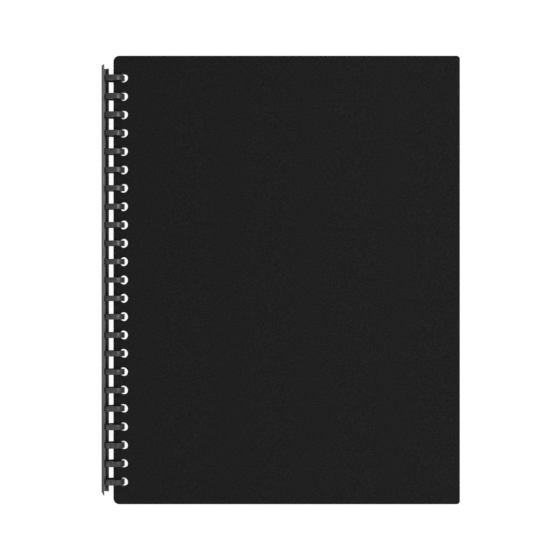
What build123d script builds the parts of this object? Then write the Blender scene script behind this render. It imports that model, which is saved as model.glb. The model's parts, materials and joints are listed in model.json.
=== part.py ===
from build123d import *
import math
import os

# Refillable display book, lying closed on its back cover.
# It is drawn round the ring axis, which runs along Y from the foot of the book to its head.
# X runs from the spine to the fore edge, and Z from the back cover to the front cover.
# All lengths are millimetres and all angles are degrees.

# Sheet that a pocket holds
sheet_width = 210.0
sheet_height = 297.0

# Clear pockets
pocket_count = 10
sheet_side_play = 8.0
sheet_head_play = 5.0
weld_width = 2.0
film_thickness = 0.08
pocket_room = 0.14
mouth_drop = 3.0
hole_to_weld = 3.5

# Covers
cover_thickness = 0.8
cover_fore_overhang = 4.0
cover_end_overhang = 3.0
cover_spine_corner_radius = 3.5
cover_fore_corner_radius = 2.0
leaf_gap = 0.2
leaf_edge_gap = 0.5

# Rings
ring_pitch = 12.7
ring_row_margin = 11.0
ring_room = 2.85
ring_thickness = 1.8
ring_width = 3.8
ring_tip_inset = 1.1
hole_play = 0.86
hole_shift = 0.6
cover_hole_sides = 10

# Tabs at the ring tips
tab_width = 1.6
tab_height = 1.2
tab_length = 1.2

# Spine bar
bar_thickness = 1.8
bar_edge_inset = 0.3
bar_overrun = 8.8
bar_tab_length = 1.3
bar_tab_height = 1.6
bar_tab_undercut = 1.8
bar_head_slant = 1.0
bar_foot_slant = 2.6
bar_end_land = 0.4
bar_top_fall = 1.0
bar_top_radius = 0.3
bar_swing = 60.0

# Comb strip, and the bead on it that the spine bar turns on
strip_thickness = 1.5
strip_margin = 0.3
bead_wall = 0.4
bead_clearance = 0.05
neck_thickness = 0.3
neck_clearance = 0.1

# Gap between pieces that move past each other
clearance = 0.3

# Height of the closed leaves, centred on the ring axis
pocket_thickness = 2 * film_thickness + pocket_room
leaf_pitch = pocket_thickness + leaf_gap
stack_thickness = 2 * cover_thickness + pocket_count * leaf_pitch + leaf_gap
stack_half = stack_thickness / 2

# Rings and the holes that they pass through
ring_inner_radius = stack_half + ring_room
ring_outer_radius = ring_inner_radius + ring_thickness
band_near_edge = math.sqrt(ring_inner_radius**2 - stack_half**2)
band_span = ring_outer_radius - band_near_edge
hole_diameter = math.hypot(band_span, ring_width) + 2 * hole_play
hole_x = band_near_edge + band_span / 2 + hole_shift

# Leaves, whose spine edges lie beside the ring axis so that they pass each other as they turn
seam_x = hole_x + hole_diameter / 2 + hole_to_weld
front_film_width = sheet_width + sheet_side_play + 2 * weld_width
pocket_width = seam_x + front_film_width - leaf_edge_gap
pocket_height = sheet_height + sheet_head_play + weld_width
pocket_foot = -pocket_height / 2
seam_height = pocket_height - mouth_drop
cover_width = pocket_width + cover_fore_overhang
cover_height = pocket_height + 2 * cover_end_overhang
ring_count = int((pocket_height - 2 * ring_row_margin) / ring_pitch) + 1
ring_row_length = (ring_count - 1) * ring_pitch

# Spine: the bar stands outside the ring tips, and the comb strip stands inside the bar's foot
tip_face = ring_tip_inset - ring_inner_radius
tip_low = math.sqrt(ring_inner_radius**2 - tip_face**2)
tip_high = math.sqrt(ring_outer_radius**2 - tip_face**2)
tab_middle = (tip_low + tip_high) / 2
bar_length = ring_row_length + 2 * bar_overrun
strip_length = bar_length - 2 * bar_tab_length
plate_length = strip_length - 2 * bar_tab_undercut
bar_top = ring_outer_radius - bar_edge_inset
bar_inner_face = tip_face - clearance
bar_outer_face = bar_inner_face - bar_thickness
hinge_x = bar_inner_face - bar_thickness / 2
hinge_z = bar_thickness / 2 - bar_top
bore_radius = bar_thickness / 2 - bead_wall
bead_radius = bore_radius - bead_clearance
root_face = tip_face + strip_thickness
strip_foot = -math.sqrt(ring_outer_radius**2 - root_face**2) - strip_margin
strip_head = -math.sqrt(ring_inner_radius**2 - root_face**2) + strip_margin

# Lean of the closed book: the rings and the fore edge of the back cover rest on one level
cover_reach = leaf_edge_gap + cover_width
lean = math.degrees(
    math.atan2(cover_reach, stack_half) - math.acos(ring_outer_radius / math.hypot(cover_reach, stack_half))
)


def ring_places(x, z):
    """One place for each ring, in a row centred on Y = 0."""
    return [Pos(x, index * ring_pitch - ring_row_length / 2, z) for index in range(ring_count)]


def section_box(x_from, x_to, z_from, z_to):
    """A rectangle of a cross-section, drawn with Z up the page."""
    middle = Pos((x_from + x_to) / 2, (z_from + z_to) / 2)
    return middle * Rectangle(x_to - x_from, z_to - z_from)


def along_y(section, length):
    """A cross-section drawn out along Y, equally to both sides."""
    return extrude(Rot(90, 0, 0) * section, length / 2, both=True)


def punched_sheet(outline, hole, thickness):
    """A leaf cut from an outline that starts at X = 0, with the row of ring holes cut through it."""
    holes = [place * hole for place in ring_places(hole_x, 0)]
    return extrude(Pos(leaf_edge_gap, 0) * outline - holes, thickness)


def make_cover():
    """A stiff sheet with rounded corners and round holes, which are cut with few sides."""
    outline = Pos(cover_width / 2, 0) * Rectangle(cover_width, cover_height)
    outline = fillet(outline.vertices().group_by(Axis.X)[0], cover_spine_corner_radius)
    outline = fillet(outline.vertices().group_by(Axis.X)[-1], cover_fore_corner_radius)
    hole = RegularPolygon(hole_diameter / 2, cover_hole_sides)
    return punched_sheet(outline, hole, cover_thickness)


def make_back_film():
    """The film behind a pocket. Its square holes are as wide as the covers' round ones."""
    outline = Pos(pocket_width / 2, 0) * Rectangle(pocket_width, pocket_height)
    return punched_sheet(outline, Rectangle(hole_diameter, hole_diameter), film_thickness)


def pocket_strip(x, y, width, height, z, thickness):
    """A flat strip of a pocket, from its corner nearest to the spine and the foot."""
    strip = Box(width, height, thickness, align=(Align.MIN, Align.MIN, Align.MIN))
    return Pos(x, y, z) * strip


def make_front_film():
    """The film before a pocket, cut short at the head so that a finger finds the mouth."""
    foot = film_thickness + pocket_room
    return pocket_strip(seam_x, pocket_foot, front_film_width, seam_height, foot, film_thickness)


def make_weld_seams():
    """The seams that join the two films of a pocket at its spine side, foot and fore edge."""
    fore_x = seam_x + front_film_width - weld_width
    foot_x = seam_x + weld_width
    seams = [
        pocket_strip(seam_x, pocket_foot, weld_width, seam_height, film_thickness, pocket_room),
        pocket_strip(fore_x, pocket_foot, weld_width, seam_height, film_thickness, pocket_room),
        pocket_strip(foot_x, pocket_foot, fore_x - foot_x, weld_width, film_thickness, pocket_room),
    ]
    return Compound(children=seams)


def make_ring():
    """One C-shaped band, from the comb strip round the leaves to a tab at the spine bar."""
    reach = 2 * ring_outer_radius
    band = Circle(ring_outer_radius) - Circle(ring_inner_radius)
    band -= section_box(-reach, tip_face, 0, reach)
    band -= section_box(-reach, root_face, -reach, 0)
    tab_foot = tab_middle - tab_height / 2
    tab = section_box(tip_face - tab_length, tip_face, tab_foot, tab_foot + tab_height)
    return along_y(band, ring_width) + along_y(tab, tab_width)


def make_comb_strip():
    """The strip that the rings grow from, with a bead along its outer side for the spine bar."""
    plate = section_box(tip_face, root_face, strip_foot, strip_head)
    neck = section_box(hinge_x, tip_face, hinge_z - neck_thickness / 2, hinge_z + neck_thickness / 2)
    bead = Pos(hinge_x, hinge_z) * Circle(bead_radius)
    return along_y(plate + neck + bead, strip_length)


def make_neck_slot():
    """The wedge that the neck sweeps through the bar's foot, as a cross-section."""
    half_slot = neck_thickness / 2 + neck_clearance
    half_swing = math.radians(bar_swing / 2)
    reach = 2 * bar_thickness
    corner = (reach * math.cos(2 * half_swing), -reach * math.sin(2 * half_swing))
    wedge = Polygon((0, 0), corner, (reach, 0), align=None)
    apex_x = hinge_x - half_slot / math.tan(half_swing)
    return Pos(apex_x, hinge_z + half_slot) * wedge


def make_bar_plan():
    """The bar seen from above: its ends slant from the outer face to a narrow land at the inner face."""
    end = bar_length / 2
    land_x = bar_inner_face - bar_end_land
    head = [(bar_inner_face, end), (land_x, end), (bar_outer_face, end - bar_head_slant)]
    foot = [(bar_outer_face, bar_foot_slant - end), (land_x, -end), (bar_inner_face, -end)]
    return Polygon(*head, *foot, align=None)


def make_spine_bar():
    """The upright bar: it grips the bead, and has a finger tab at each end and a socket for each ring tab."""
    foot_corners = [(bar_outer_face, hinge_z), (bar_inner_face, hinge_z)]
    top_corners = [(bar_inner_face, bar_top - bar_top_fall), (bar_outer_face, bar_top)]
    plate = Polygon(*foot_corners, *top_corners, align=None)
    plate = fillet(plate.vertices().sort_by(Axis.Y)[2:], bar_top_radius)
    lip = plate & section_box(bar_outer_face, bar_inner_face, bar_top - bar_tab_height, bar_top)
    foot = Pos(hinge_x, hinge_z) * Circle(bar_thickness / 2)
    bore = Pos(hinge_x, hinge_z) * Circle(bore_radius)
    bar = along_y(plate + foot - bore - make_neck_slot(), plate_length) + along_y(lip, bar_length)
    bar &= extrude(make_bar_plan(), 2 * ring_outer_radius, both=True)
    socket_depth = tab_length
    socket_box = Box(socket_depth, tab_width + 2 * clearance, tab_height + 2 * clearance)
    socket_x = bar_inner_face - socket_depth / 2
    return bar - [place * socket_box for place in ring_places(socket_x, tab_middle)]


def make_parts():
    """Every piece of the closed book, round the ring axis, by name."""
    ring = make_ring()
    front_foot = stack_half - cover_thickness
    parts = {
        "back_cover": Pos(0, 0, -stack_half) * make_cover(),
        "front_cover": Pos(0, 0, front_foot) * make_cover(),
        "binding_rings": Compound(children=[place * ring for place in ring_places(0, 0)]),
        "comb_strip": make_comb_strip(),
        "spine_bar": make_spine_bar(),
    }
    first_pocket = cover_thickness + leaf_gap - stack_half
    for index in range(pocket_count):
        place = Pos(0, 0, first_pocket + index * leaf_pitch)
        parts[f"pocket_{index + 1:02d}_back_film"] = place * make_back_film()
        parts[f"pocket_{index + 1:02d}_front_film"] = place * make_front_film()
        parts[f"pocket_{index + 1:02d}_weld_seams"] = place * make_weld_seams()
    return parts


# The leaning book stands with the middle of its underside at the origin
leaning = {name: Rot(0, lean, 0) * part for name, part in make_parts().items()}
boxes = [part.bounding_box() for part in leaning.values()]
spine_reach = min(box.min.X for box in boxes)
fore_reach = max(box.max.X for box in boxes)
standing = Pos(-(spine_reach + fore_reach) / 2, 0, -min(box.min.Z for box in boxes))

os.makedirs("parts", exist_ok=True)
for name, part in leaning.items():
    export_step(standing * part, f"parts/{name}.step")
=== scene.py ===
import json
import math

import bmesh
import bpy
from mathutils import Matrix, Vector


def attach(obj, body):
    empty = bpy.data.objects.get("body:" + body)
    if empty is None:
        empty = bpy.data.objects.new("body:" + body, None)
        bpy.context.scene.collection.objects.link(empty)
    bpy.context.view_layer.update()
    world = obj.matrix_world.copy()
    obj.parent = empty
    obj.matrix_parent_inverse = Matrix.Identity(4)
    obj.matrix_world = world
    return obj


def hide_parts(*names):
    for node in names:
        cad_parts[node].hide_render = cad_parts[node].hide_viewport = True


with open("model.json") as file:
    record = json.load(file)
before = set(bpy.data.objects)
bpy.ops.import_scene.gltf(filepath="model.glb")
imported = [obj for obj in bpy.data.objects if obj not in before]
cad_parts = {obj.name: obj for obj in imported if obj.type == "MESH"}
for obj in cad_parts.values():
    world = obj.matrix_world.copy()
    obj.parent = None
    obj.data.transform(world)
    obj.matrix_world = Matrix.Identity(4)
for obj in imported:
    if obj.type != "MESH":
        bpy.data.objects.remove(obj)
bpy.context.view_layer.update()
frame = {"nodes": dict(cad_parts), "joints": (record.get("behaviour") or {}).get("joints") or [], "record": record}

# All lengths are metres. The book's own axes have their origin on the ring axis: X runs from the spine
# to the fore edge, Y from the foot to the head, and Z from the back cover to the front cover.
MM = 0.001

# Rings, which are drawn shy of the solid ones so that they stay inside the CAD box
RING_COUNT = 23
RING_PITCH = 12.7 * MM
RING_WIDTH = 3.8 * MM
RING_THICKNESS = 1.8 * MM
RING_EDGE_RADIUS = 0.35 * MM
RING_TIP_RADIUS = 0.25 * MM
RING_SHY = 0.02 * MM
TAB_WIDTH = 1.6 * MM
TAB_HEIGHT = 1.2 * MM
TAB_LENGTH = 1.2 * MM
TAB_EDGE_RADIUS = 0.2 * MM

# Spine
CLEARANCE = 0.3 * MM
BAR_THICKNESS = 1.8 * MM
BAR_TOP_FALL = 1.0 * MM
BAR_TOP_RADIUS = 0.3 * MM
BAR_LIP_HEIGHT = 1.4 * MM
BAR_TAB_UNDERCUT = 1.8 * MM
BAR_HEAD_SLANT = 1.0 * MM
BAR_FOOT_SLANT = 2.6 * MM
BAR_END_LAND = 0.4 * MM
BORE_RADIUS = 0.5 * MM
SLOT_HALF = 0.25 * MM
BEAD_RADIUS = 0.45 * MM
NECK_HALF = 0.15 * MM
SPINE_BEVEL = 0.1 * MM

# Leaves. A hole is as far from the weld as the solid one, and a little smaller.
POCKET_COUNT = 10
HOLE_RADIUS = 3.06 * MM
HOLE_TO_WELD = 3.5 * MM
SPINE_CORNER_RADIUS = 4.1 * MM
FORE_CORNER_RADIUS = 2.3 * MM
FILM_CORNER_RADIUS = 1.5 * MM
COVER_EDGE_RADIUS = 0.16 * MM

# Fineness of round shapes, and angles
RING_STEPS = 56
HOLE_STEPS = 40
BORE_STEPS = 20
CORNER_STEPS = 8
EDGE_STEPS = 3
BEVEL_STEPS = 2
SHARP_ANGLE = math.radians(35)
QUARTER_TURN = math.pi / 2

# Finishes: darkest and lightest tone, least and greatest roughness, and gloss
COVER_TONES = ((0.0047, 0.0047, 0.0049), (0.0129, 0.0129, 0.0133))
COVER_ROUGHNESS = (0.6, 0.62)
COVER_GLOSS = 0.05
SPINE_TONES = ((0.026, 0.026, 0.0265), (0.035, 0.035, 0.0357))
SPINE_ROUGHNESS = (0.38, 0.46)
SPINE_GLOSS = 0.31
RING_TONES = ((0.032, 0.032, 0.0326), (0.042, 0.042, 0.0428))
RING_ROUGHNESS = (0.27, 0.33)
RING_GLOSS = 0.2
FILM_TINT = (0.86, 0.88, 0.89)
FILM_OPACITY = (0.04, 0.05)
FILM_ROUGHNESS = (0.12, 0.2)
FILM_EDGE_TINT = (0.8, 0.83, 0.85)
FILM_EDGE_OPACITY = (0.67, 0.83)
FILM_EDGE_ROUGHNESS = (0.3, 0.4)
WELD_OPACITY = (0.25, 0.45)
WELD_ROUGHNESS = 0.3
FILM_IOR = 1.49

# Size of the marks in each finish, and how deep they are
COVER_GRAIN = 1.1 * MM
COVER_CLOUD = 17 * MM
MOULD_GRAIN = 0.55 * MM
MOULD_FLOW = 4.5 * MM
FILM_HAZE = 22 * MM
WELD_RIB_PITCH = 2.1 * MM
GRAIN_DEPTH = 0.01 * MM
HAZE_DEPTH = 0.15 * MM
RIB_DEPTH = 0.08 * MM

# Textures: how finely a noise breaks up, between which values most of it lies, and a wave's pitch at scale 1
FINE_DETAIL = 4
SOFT_DETAIL = 2
NOISE_SPAN = (0.3, 0.7)
WAVE_PITCH = math.pi / 5

# Camera, square to the front cover, and the place on the cover that it looks at. Its sensor is in
# millimetres, as Blender has it.
CAMERA_DISTANCE = 1.1
VIEW_WIDTH = 387 * MM
AIM_LEFT_OF_CENTRE = 4.6 * MM
SENSOR_WIDTH = 36

# Floor, as it is seen and as it throws light back, and the even light from all round
FLOOR_SIZE = 6.0
FLOOR_DROP = 0.05 * MM
FLOOR_SEEN = 0.1
FLOOR_BOUNCE = 0.8
FLOOR_GLOW = 0.95
WORLD_LEVEL = 0.1

# Rays may pass through every film of the closed book
FILM_PASSES = 128


def axes_of_book():
    """The matrix from the book's own axes to the frame, which the ring axis and the leaning spine give."""
    axis = Vector(joints["comb_turn"]["pos_m"])
    mounts = {mount["name"]: mount for mount in frame["record"]["mounts"]}
    lean = math.asin(mounts["spine_face"]["axis"][2])
    return Matrix.Translation(axis) @ Matrix.Rotation(lean, 4, "Y")


def extent(node):
    """Lowest and highest corner of a node, in the book's own axes."""
    points = [to_book @ vertex.co for vertex in frame["nodes"][node].data.vertices]
    low = Vector([min(point[axis] for point in points) for axis in range(3)])
    high = Vector([max(point[axis] for point in points) for axis in range(3)])
    return low, high


joints = {joint["name"]: joint for joint in frame["joints"]}
from_book = axes_of_book()
to_book = from_book.inverted()
bar_hinge = to_book @ Vector(joints["spine_bar_swing"]["pos_m"])
bar_swing = math.radians(joints["spine_bar_swing"]["range_deg"][1])
bar_low, bar_high = extent("spine_bar")
strip_low, strip_high = extent("comb_strip")
ring_outer_radius = joints["comb_turn"]["pos_m"][2] - RING_SHY
ring_inner_radius = ring_outer_radius - RING_THICKNESS
ring_rows = [(index - (RING_COUNT - 1) / 2) * RING_PITCH for index in range(RING_COUNT)]
tip_face = bar_high.x + CLEARANCE
tip_heights = [math.sqrt(radius**2 - tip_face**2) for radius in (ring_inner_radius, ring_outer_radius)]
tab_middle = sum(tip_heights) / 2
hole_x = extent("pocket_01_front_film")[0].x - HOLE_TO_WELD - HOLE_RADIUS


def arc(x, y, radius, start, end, steps):
    """Points along an arc, from one angle to another, both included."""
    angles = [start + (end - start) * step / steps for step in range(steps + 1)]
    return [(x + radius * math.cos(angle), y + radius * math.sin(angle)) for angle in angles]


def full_circle(x, y, radius):
    """Points round a hole."""
    return arc(x, y, radius, 0, 2 * math.pi, HOLE_STEPS)[:-1]


def rounded_outline(low, high, low_radius, high_radius):
    """Points round a rectangle, with one corner radius at its low X side and one at its high X side."""
    corners = [
        (high[0] - high_radius, low[1] + high_radius, high_radius, -QUARTER_TURN),
        (high[0] - high_radius, high[1] - high_radius, high_radius, 0),
        (low[0] + low_radius, high[1] - low_radius, low_radius, QUARTER_TURN),
        (low[0] + low_radius, low[1] + low_radius, low_radius, math.pi),
    ]
    points = []
    for x, y, radius, start in corners:
        points += arc(x, y, radius, start, start + QUARTER_TURN, CORNER_STEPS)
    return points


def bridge(bm, loops):
    """Joins closed loops of as many points each, one after another, and returns the faces."""
    faces = []
    for lower, upper in zip(loops, loops[1:]):
        for index in range(len(lower)):
            after = (index + 1) % len(lower)
            faces.append(bm.faces.new((lower[index], lower[after], upper[after], upper[index])))
    return faces


def edge_profile(thickness, radius):
    """Inset and height of each loop round a sheet's edge, from its underside to its upper side."""
    angles = [QUARTER_TURN * step / EDGE_STEPS for step in range(EDGE_STEPS + 1)]
    lower = [(radius * (1 - math.sin(angle)), radius * (1 - math.cos(angle))) for angle in angles]
    upper = [(inset, thickness - height) for inset, height in reversed(lower)]
    return lower + upper


def new_piece(name, bm, body, node, materials):
    """Turns a mesh drawn in the book's own axes into a piece that rides on a body and stands for a node."""
    bmesh.ops.recalc_face_normals(bm, faces=bm.faces)
    mesh = bpy.data.meshes.new(name)
    bm.to_mesh(mesh)
    bm.free()
    mesh.transform(from_book)
    for material in materials:
        mesh.materials.append(material)
    piece = bpy.data.objects.new(name, mesh)
    bpy.context.scene.collection.objects.link(piece)
    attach(piece, body)
    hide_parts(node)
    return piece


def sheet_mesh(low, high, corner_radii, punched, profile):
    """A flat sheet, punched with the row of holes or whole. Its rim has the second material."""
    bm = bmesh.new()
    ends = ([], [])
    hole_centres = [(hole_x, y) for y in ring_rows] if punched else []
    for centre in [None, *hole_centres]:
        loops = []
        for inset, height in profile:
            if centre is None:
                shift = Vector((inset, inset))
                radii = [radius - inset for radius in corner_radii]
                points = rounded_outline(low.xy + shift, high.xy - shift, *radii)
            else:
                points = full_circle(*centre, HOLE_RADIUS + inset)
            loops.append([bm.verts.new((x, y, low.z + height)) for x, y in points])
        for face in bridge(bm, loops):
            face.smooth = True
            face.material_index = 1
        for edges, loop in zip(ends, (loops[0], loops[-1])):
            edges += [bm.edges.get((loop[index - 1], loop[index])) for index in range(len(loop))]
    for edges in ends:
        bmesh.ops.triangle_fill(bm, use_beauty=True, edges=edges)
    return bm


def make_cover(node, material):
    """A stiff sheet with soft edges."""
    low, high = extent(node)
    profile = edge_profile(high.z - low.z, COVER_EDGE_RADIUS)
    bm = sheet_mesh(low, high, (SPINE_CORNER_RADIUS, FORE_CORNER_RADIUS), True, profile)
    new_piece(f"{node}_sheet", bm, node, node, [material, material])


def make_film(node, body, punched, materials):
    """One clear film of a pocket."""
    low, high = extent(node)
    profile = [(0, 0), (0, high.z - low.z)]
    bm = sheet_mesh(low, high, (FILM_CORNER_RADIUS, FILM_CORNER_RADIUS), punched, profile)
    new_piece(f"{node}_sheet", bm, body, node, materials)


def ring_section(y, inset):
    """Outline of a band's section, as radius and Y, drawn in by an inset."""
    half = RING_WIDTH / 2 - inset
    low = (ring_inner_radius + inset, y - half)
    high = (ring_outer_radius - inset, y + half)
    return rounded_outline(low, high, RING_EDGE_RADIUS - inset, RING_EDGE_RADIUS - inset)


def ring_band(bm, y):
    """Loops of one band, from the comb strip to its tip, whose edges are rounded."""
    shoulder = tip_face + RING_TIP_RADIUS
    loops = []
    for step in range(RING_STEPS + 1):
        loop = []
        for radius, along in ring_section(y, 0):
            root = -math.acos(strip_high.x / radius)
            tip = math.acos(shoulder / radius)
            angle = root + (tip - root) * step / RING_STEPS
            loop.append(bm.verts.new((radius * math.cos(angle), along, radius * math.sin(angle))))
        loops.append(loop)
    for step in range(1, EDGE_STEPS + 1):
        turn = QUARTER_TURN * step / EDGE_STEPS
        x = shoulder - RING_TIP_RADIUS * math.sin(turn)
        outline = ring_section(y, RING_TIP_RADIUS * (1 - math.cos(turn)))
        loops.append([bm.verts.new((x, along, math.sqrt(radius**2 - x**2))) for radius, along in outline])
    return loops


def ring_tab(bm, y):
    """Loops of the tab on one ring's tip."""
    tab_end = tip_face - TAB_LENGTH
    loops = []
    for x, inset in [(tip_face, 0), (tab_end + TAB_EDGE_RADIUS, 0), (tab_end, TAB_EDGE_RADIUS)]:
        half_height = TAB_HEIGHT / 2 - inset
        half_width = TAB_WIDTH / 2 - inset
        low = (tab_middle - half_height, y - half_width)
        high = (tab_middle + half_height, y + half_width)
        outline = rounded_outline(low, high, TAB_EDGE_RADIUS, TAB_EDGE_RADIUS)
        loops.append([bm.verts.new((x, along, z)) for z, along in outline])
    return loops


def make_rings(material):
    """The row of rings, each a band with a tab."""
    bm = bmesh.new()
    for y in ring_rows:
        loops = ring_band(bm, y) + ring_tab(bm, y)
        for face in bridge(bm, loops):
            face.smooth = True
        bm.faces.new(loops[0])
        bm.faces.new(loops[-1])
    piece = new_piece("binding_ring_row", bm, "comb", "binding_rings", [material])
    piece.data.set_sharp_from_angle(angle=SHARP_ANGLE)


def soften(piece):
    """Rounds the sharp edges of a spine piece."""
    for polygon in piece.data.polygons:
        polygon.use_smooth = True
    piece.data.set_sharp_from_angle(angle=SHARP_ANGLE)
    bevel = piece.modifiers.new("soft_edges", "BEVEL")
    bevel.width = SPINE_BEVEL
    bevel.segments = BEVEL_STEPS
    bevel.limit_method = "ANGLE"
    bevel.angle_limit = SHARP_ANGLE


def bar_lip():
    """Cross-section of the bar's top edge, which falls from its outer side to its inner side."""
    slope = math.atan2(BAR_TOP_FALL, BAR_THICKNESS)
    slope_side = QUARTER_TURN - slope
    outer_x = bar_low.x + BAR_TOP_RADIUS
    outer_z = bar_high.z - BAR_TOP_RADIUS
    inner_x = bar_high.x - BAR_TOP_RADIUS
    inner_z = outer_z - (inner_x - outer_x) * math.tan(slope)
    lip_foot = bar_high.z - BAR_LIP_HEIGHT
    points = [(bar_low.x, lip_foot)]
    points += arc(outer_x, outer_z, BAR_TOP_RADIUS, math.pi, slope_side, CORNER_STEPS)
    points += arc(inner_x, inner_z, BAR_TOP_RADIUS, slope_side, 0, CORNER_STEPS)
    points += [(bar_high.x, lip_foot)]
    return points


def bar_foot():
    """Cross-section of the bar below its top edge, from the sockets round the bore to the outer side."""
    half = BAR_THICKNESS / 2
    socket_half = TAB_HEIGHT / 2 + CLEARANCE
    bore_slot = math.asin(SLOT_HALF / BORE_RADIUS)
    foot_slot = math.asin(SLOT_HALF / half)
    slot_end = 2 * math.pi - bar_swing
    points = [(bar_high.x, tab_middle + socket_half), (bar_high.x, tab_middle - socket_half)]
    points += [(bar_high.x, bar_hinge.z + SLOT_HALF)]
    points += arc(bar_hinge.x, bar_hinge.z, BORE_RADIUS, bore_slot, slot_end - bore_slot, BORE_STEPS)
    points += arc(bar_hinge.x, bar_hinge.z, half, slot_end - foot_slot, math.pi, BORE_STEPS // 2)
    return points


def bar_stations():
    """Places along the bar for its section, as Y and the outer side's X, and where each socket starts."""
    land_x = bar_high.x - BAR_END_LAND
    shoulder = strip_high.y - BAR_TAB_UNDERCUT
    stations = [(bar_low.y, land_x), (bar_low.y + BAR_FOOT_SLANT, bar_low.x), (-shoulder, bar_low.x)]
    socket_starts = []
    for y in ring_rows:
        socket_starts.append(len(stations))
        for side in (-1, 1):
            stations.append((y + side * (TAB_WIDTH / 2 + CLEARANCE), bar_low.x))
    stations += [(shoulder, bar_low.x), (bar_high.y - BAR_HEAD_SLANT, bar_low.x), (bar_high.y, land_x)]
    return stations, socket_starts


def make_spine_bar(material):
    """The upright bar: a foot that grips the bead, a finger tab at each end, a socket for each ring tab."""
    lip = bar_lip()
    section = lip + bar_foot()
    socket_edge = len(lip)
    stations, socket_starts = bar_stations()
    first_shoulder = 2
    last = len(stations) - 1
    last_shoulder = last - first_shoulder
    bm = bmesh.new()
    loops = [[bm.verts.new((max(x, outer_x), y, z)) for x, z in section] for y, outer_x in stations]
    for start in range(last):
        lower, upper = loops[start], loops[start + 1]
        whole = first_shoulder <= start < last_shoulder
        count = len(section) if whole else len(lip)
        for index in range(count):
            after = (index + 1) % count
            rim = (lower[index], lower[after], upper[after], upper[index])
            if start in socket_starts and index == socket_edge:
                floor = [bm.verts.new(vertex.co - Vector((TAB_LENGTH, 0, 0))) for vertex in rim]
                bridge(bm, [rim, floor])
                bm.faces.new(floor)
            else:
                bm.faces.new(rim)
    for end in (0, last):
        bm.faces.new(loops[end][: len(lip)])
    for shoulder in (first_shoulder, last_shoulder):
        bm.faces.new([*loops[shoulder][len(lip) - 1 :], loops[shoulder][0]])
    bmesh.ops.delete(bm, geom=[vertex for vertex in bm.verts if not vertex.link_faces], context="VERTS")
    piece = new_piece("spine_bar_moulding", bm, "spine_bar", "spine_bar", [material])
    soften(piece)


def make_comb_strip(material):
    """The strip that the rings grow from, with the bead that the spine bar turns on."""
    neck = math.asin(NECK_HALF / BEAD_RADIUS)
    section = [(tip_face, bar_hinge.z + NECK_HALF)]
    section += arc(bar_hinge.x, bar_hinge.z, BEAD_RADIUS, neck, 2 * math.pi - neck, BORE_STEPS)
    section += [(tip_face, bar_hinge.z - NECK_HALF), (tip_face, strip_low.z)]
    section += [(strip_high.x, strip_low.z), (strip_high.x, strip_high.z), (tip_face, strip_high.z)]
    bm = bmesh.new()
    loops = [[bm.verts.new((x, y, z)) for x, z in section] for y in (strip_low.y, strip_high.y)]
    bridge(bm, loops)
    bm.faces.new(loops[0])
    bm.faces.new(loops[-1])
    piece = new_piece("comb_strip_moulding", bm, "comb", "comb_strip", [material])
    soften(piece)


def new_material(name):
    """A material and its shader."""
    material = bpy.data.materials.new(name)
    material.use_nodes = True
    return material, material.node_tree.nodes["Principled BSDF"]


def add_noise(material, mark_size, detail):
    """A noise texture in the piece's own axes, with marks of about one size."""
    nodes = material.node_tree.nodes
    noise = nodes.new("ShaderNodeTexNoise")
    noise.inputs["Scale"].default_value = 1 / mark_size
    noise.inputs["Detail"].default_value = detail
    coordinates = nodes.new("ShaderNodeTexCoord")
    material.node_tree.links.new(coordinates.outputs["Object"], noise.inputs["Vector"])
    return noise.outputs["Fac"]


def add_tone(material, source, tones, socket):
    """Feeds a socket with a colour between two tones, which a texture mixes."""
    ramp = material.node_tree.nodes.new("ShaderNodeValToRGB")
    for element, place, tone in zip(ramp.color_ramp.elements, NOISE_SPAN, tones):
        element.position = place
        element.color = (*tone, 1)
    material.node_tree.links.new(source, ramp.inputs["Fac"])
    material.node_tree.links.new(ramp.outputs["Color"], socket)


def add_range(material, source, limits, socket):
    """Feeds a socket with a value between two limits, which a texture mixes."""
    spread = material.node_tree.nodes.new("ShaderNodeMapRange")
    settings = zip(("From Min", "From Max", "To Min", "To Max"), (*NOISE_SPAN, *limits))
    for name, value in settings:
        spread.inputs[name].default_value = value
    material.node_tree.links.new(source, spread.inputs["Value"])
    material.node_tree.links.new(spread.outputs["Result"], socket)


def add_bump(material, source, depth, shader):
    """Raises a shader's surface by a texture."""
    bump = material.node_tree.nodes.new("ShaderNodeBump")
    bump.inputs["Distance"].default_value = depth
    material.node_tree.links.new(source, bump.inputs["Height"])
    material.node_tree.links.new(bump.outputs["Normal"], shader.inputs["Normal"])


def make_cover_material():
    """Matt black polypropylene with a very fine grain."""
    material, shader = new_material("cover_polypropylene")
    grain = add_noise(material, COVER_GRAIN, FINE_DETAIL)
    cloud = add_noise(material, COVER_CLOUD, SOFT_DETAIL)
    add_tone(material, grain, COVER_TONES, shader.inputs["Base Color"])
    add_range(material, cloud, COVER_ROUGHNESS, shader.inputs["Roughness"])
    add_bump(material, grain, GRAIN_DEPTH, shader)
    shader.inputs["Specular IOR Level"].default_value = COVER_GLOSS
    return material


def make_moulded_material(name, tones, roughness, gloss):
    """Satin moulded plastic, slightly uneven in tone and gloss."""
    material, shader = new_material(name)
    grain = add_noise(material, MOULD_GRAIN, SOFT_DETAIL)
    flow = add_noise(material, MOULD_FLOW, SOFT_DETAIL)
    add_tone(material, flow, tones, shader.inputs["Base Color"])
    add_range(material, flow, roughness, shader.inputs["Roughness"])
    add_bump(material, grain, GRAIN_DEPTH, shader)
    shader.inputs["Specular IOR Level"].default_value = gloss
    return material


def make_film_material(name, tint, opacity, roughness):
    """Clear film, slightly hazy, with a faint unevenness that bends its reflections."""
    material, shader = new_material(name)
    haze = add_noise(material, FILM_HAZE, SOFT_DETAIL)
    add_range(material, haze, opacity, shader.inputs["Alpha"])
    add_range(material, haze, roughness, shader.inputs["Roughness"])
    add_bump(material, haze, HAZE_DEPTH, shader)
    shader.inputs["Base Color"].default_value = (*tint, 1)
    shader.inputs["IOR"].default_value = FILM_IOR
    return material


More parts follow.
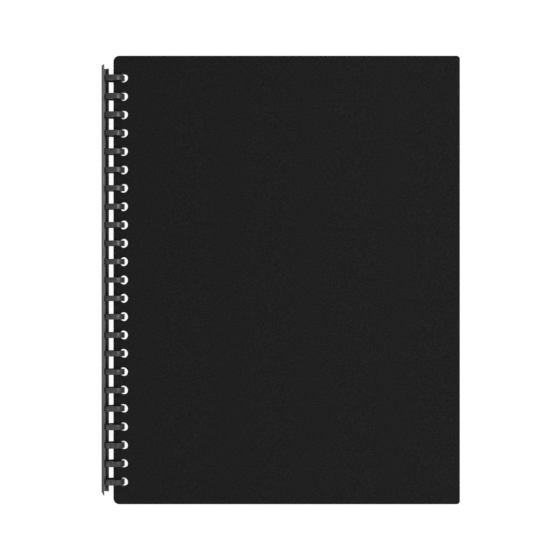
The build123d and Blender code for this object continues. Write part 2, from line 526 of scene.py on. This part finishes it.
def make_weld_material():
    """A heat-sealed seam, pressed with fine slanting ribs."""
    material, shader = new_material("film_weld")
    nodes = material.node_tree.nodes
    ribs = nodes.new("ShaderNodeTexWave")
    ribs.bands_direction = "DIAGONAL"
    ribs.inputs["Scale"].default_value = WAVE_PITCH / WELD_RIB_PITCH
    coordinates = nodes.new("ShaderNodeTexCoord")
    material.node_tree.links.new(coordinates.outputs["Object"], ribs.inputs["Vector"])
    add_range(material, ribs.outputs["Fac"], WELD_OPACITY, shader.inputs["Alpha"])
    add_bump(material, ribs.outputs["Fac"], RIB_DEPTH, shader)
    shader.inputs["Base Color"].default_value = (*FILM_EDGE_TINT, 1)
    shader.inputs["Roughness"].default_value = WELD_ROUGHNESS
    shader.inputs["IOR"].default_value = FILM_IOR
    return material


def seen_directly(tree):
    """1 for rays that show the surroundings, straight, in gloss or through glass, and 0 for the rest."""
    path = tree.nodes.new("ShaderNodeLightPath")
    seen = path.outputs["Is Camera Ray"]
    for name in ("Is Glossy Ray", "Is Transmission Ray"):
        larger = tree.nodes.new("ShaderNodeMath")
        larger.operation = "MAXIMUM"
        tree.links.new(seen, larger.inputs[0])
        tree.links.new(path.outputs[name], larger.inputs[1])
        seen = larger.outputs["Value"]
    return seen


def choose_by_ray(tree, lighting, showing, socket):
    """Feeds a socket with one value for rays that light the scene and another for rays that show it."""
    level = tree.nodes.new("ShaderNodeMapRange")
    level.inputs["To Min"].default_value = lighting
    level.inputs["To Max"].default_value = showing
    tree.links.new(seen_directly(tree), level.inputs["Value"])
    tree.links.new(level.outputs["Result"], socket)


def make_floor():
    """A pale floor that looks white and still takes the book's shadow."""
    half = FLOOR_SIZE / 2
    mesh = bpy.data.meshes.new("floor")
    corners = [(x * half, y * half, 0) for x, y in ((-1, -1), (1, -1), (1, 1), (-1, 1))]
    mesh.from_pydata(corners, [], [(0, 1, 2, 3)])
    floor = bpy.data.objects.new("floor", mesh)
    floor.location.z = -FLOOR_DROP
    bpy.context.scene.collection.objects.link(floor)
    material, shader = new_material("floor_white")
    choose_by_ray(material.node_tree, FLOOR_BOUNCE, FLOOR_SEEN, shader.inputs["Base Color"])
    choose_by_ray(material.node_tree, 0, FLOOR_GLOW, shader.inputs["Emission Strength"])
    shader.inputs["Emission Color"].default_value = (1, 1, 1, 1)
    shader.inputs["Roughness"].default_value = 1.0
    shader.inputs["Specular IOR Level"].default_value = 0.0
    mesh.materials.append(material)


def make_world():
    """Even light from all round, which looks white."""
    world = bpy.data.worlds.new("studio")
    world.use_nodes = True
    background = world.node_tree.nodes["Background"]
    background.inputs["Color"].default_value = (1, 1, 1, 1)
    choose_by_ray(world.node_tree, WORLD_LEVEL, 1, background.inputs["Strength"])
    bpy.context.scene.world = world


def make_light(name, azimuth, elevation, distance, size, power):
    """A softbox that faces the book. Azimuth 0 stands at the fore edge and 90 at the head."""
    turn, rise = math.radians(azimuth), math.radians(elevation)
    direction = Vector((math.cos(rise) * math.cos(turn), math.cos(rise) * math.sin(turn), math.sin(rise)))
    data = bpy.data.lights.new(name, "AREA")
    data.shape = "RECTANGLE"
    data.size, data.size_y = size
    data.energy = power
    light = bpy.data.objects.new(name, data)
    light.location = distance * direction
    light.rotation_mode = "QUATERNION"
    light.rotation_quaternion = (-direction).to_track_quat("-Z", "Y")
    bpy.context.scene.collection.objects.link(light)


def make_camera():
    """A long lens square to the front cover."""
    data = bpy.data.cameras.new("camera")
    data.sensor_width = SENSOR_WIDTH
    data.lens = SENSOR_WIDTH * CAMERA_DISTANCE / VIEW_WIDTH
    camera = bpy.data.objects.new("camera", data)
    low, high = extent("front_cover")
    aim_x = (low.x + high.x) / 2 - AIM_LEFT_OF_CENTRE
    camera.matrix_world = from_book @ Matrix.Translation((aim_x, 0, high.z + CAMERA_DISTANCE))
    bpy.context.scene.collection.objects.link(camera)
    bpy.context.scene.camera = camera


cover_material = make_cover_material()
spine_material = make_moulded_material("spine_moulding", SPINE_TONES, SPINE_ROUGHNESS, SPINE_GLOSS)
ring_material = make_moulded_material("ring_moulding", RING_TONES, RING_ROUGHNESS, RING_GLOSS)
film_material = make_film_material("clear_film", FILM_TINT, FILM_OPACITY, FILM_ROUGHNESS)
film_edge_material = make_film_material("film_edge", FILM_EDGE_TINT, FILM_EDGE_OPACITY, FILM_EDGE_ROUGHNESS)
weld_material = make_weld_material()

make_cover("back_cover", cover_material)
make_cover("front_cover", cover_material)
make_rings(ring_material)
make_spine_bar(spine_material)
make_comb_strip(spine_material)
for number in range(1, POCKET_COUNT + 1):
    pocket = f"pocket_{number:02d}"
    make_film(f"{pocket}_back_film", pocket, True, [film_material, film_edge_material])
    make_film(f"{pocket}_front_film", pocket, False, [film_material, film_edge_material])
    for seam_slot in frame["nodes"][f"{pocket}_weld_seams"].material_slots:
        seam_slot.material = weld_material

make_floor()
make_world()
make_light("key_right", azimuth=7, elevation=34, distance=1.4, size=(0.4, 0.5), power=13)
make_light("fill_head", azimuth=66, elevation=46, distance=1.4, size=(0.6, 0.5), power=4.2)
make_light("fill_foot", azimuth=-32, elevation=38, distance=1.4, size=(0.6, 0.5), power=1.9)
make_light("fill_left", azimuth=205, elevation=44, distance=1.4, size=(0.7, 0.6), power=5.4)
make_light("overhead_foot", azimuth=270, elevation=74, distance=1.3, size=(0.5, 0.8), power=2.7)
make_camera()

scene = bpy.context.scene
scene.view_settings.view_transform = "Standard"
scene.cycles.transparent_max_bounces = FILM_PASSES
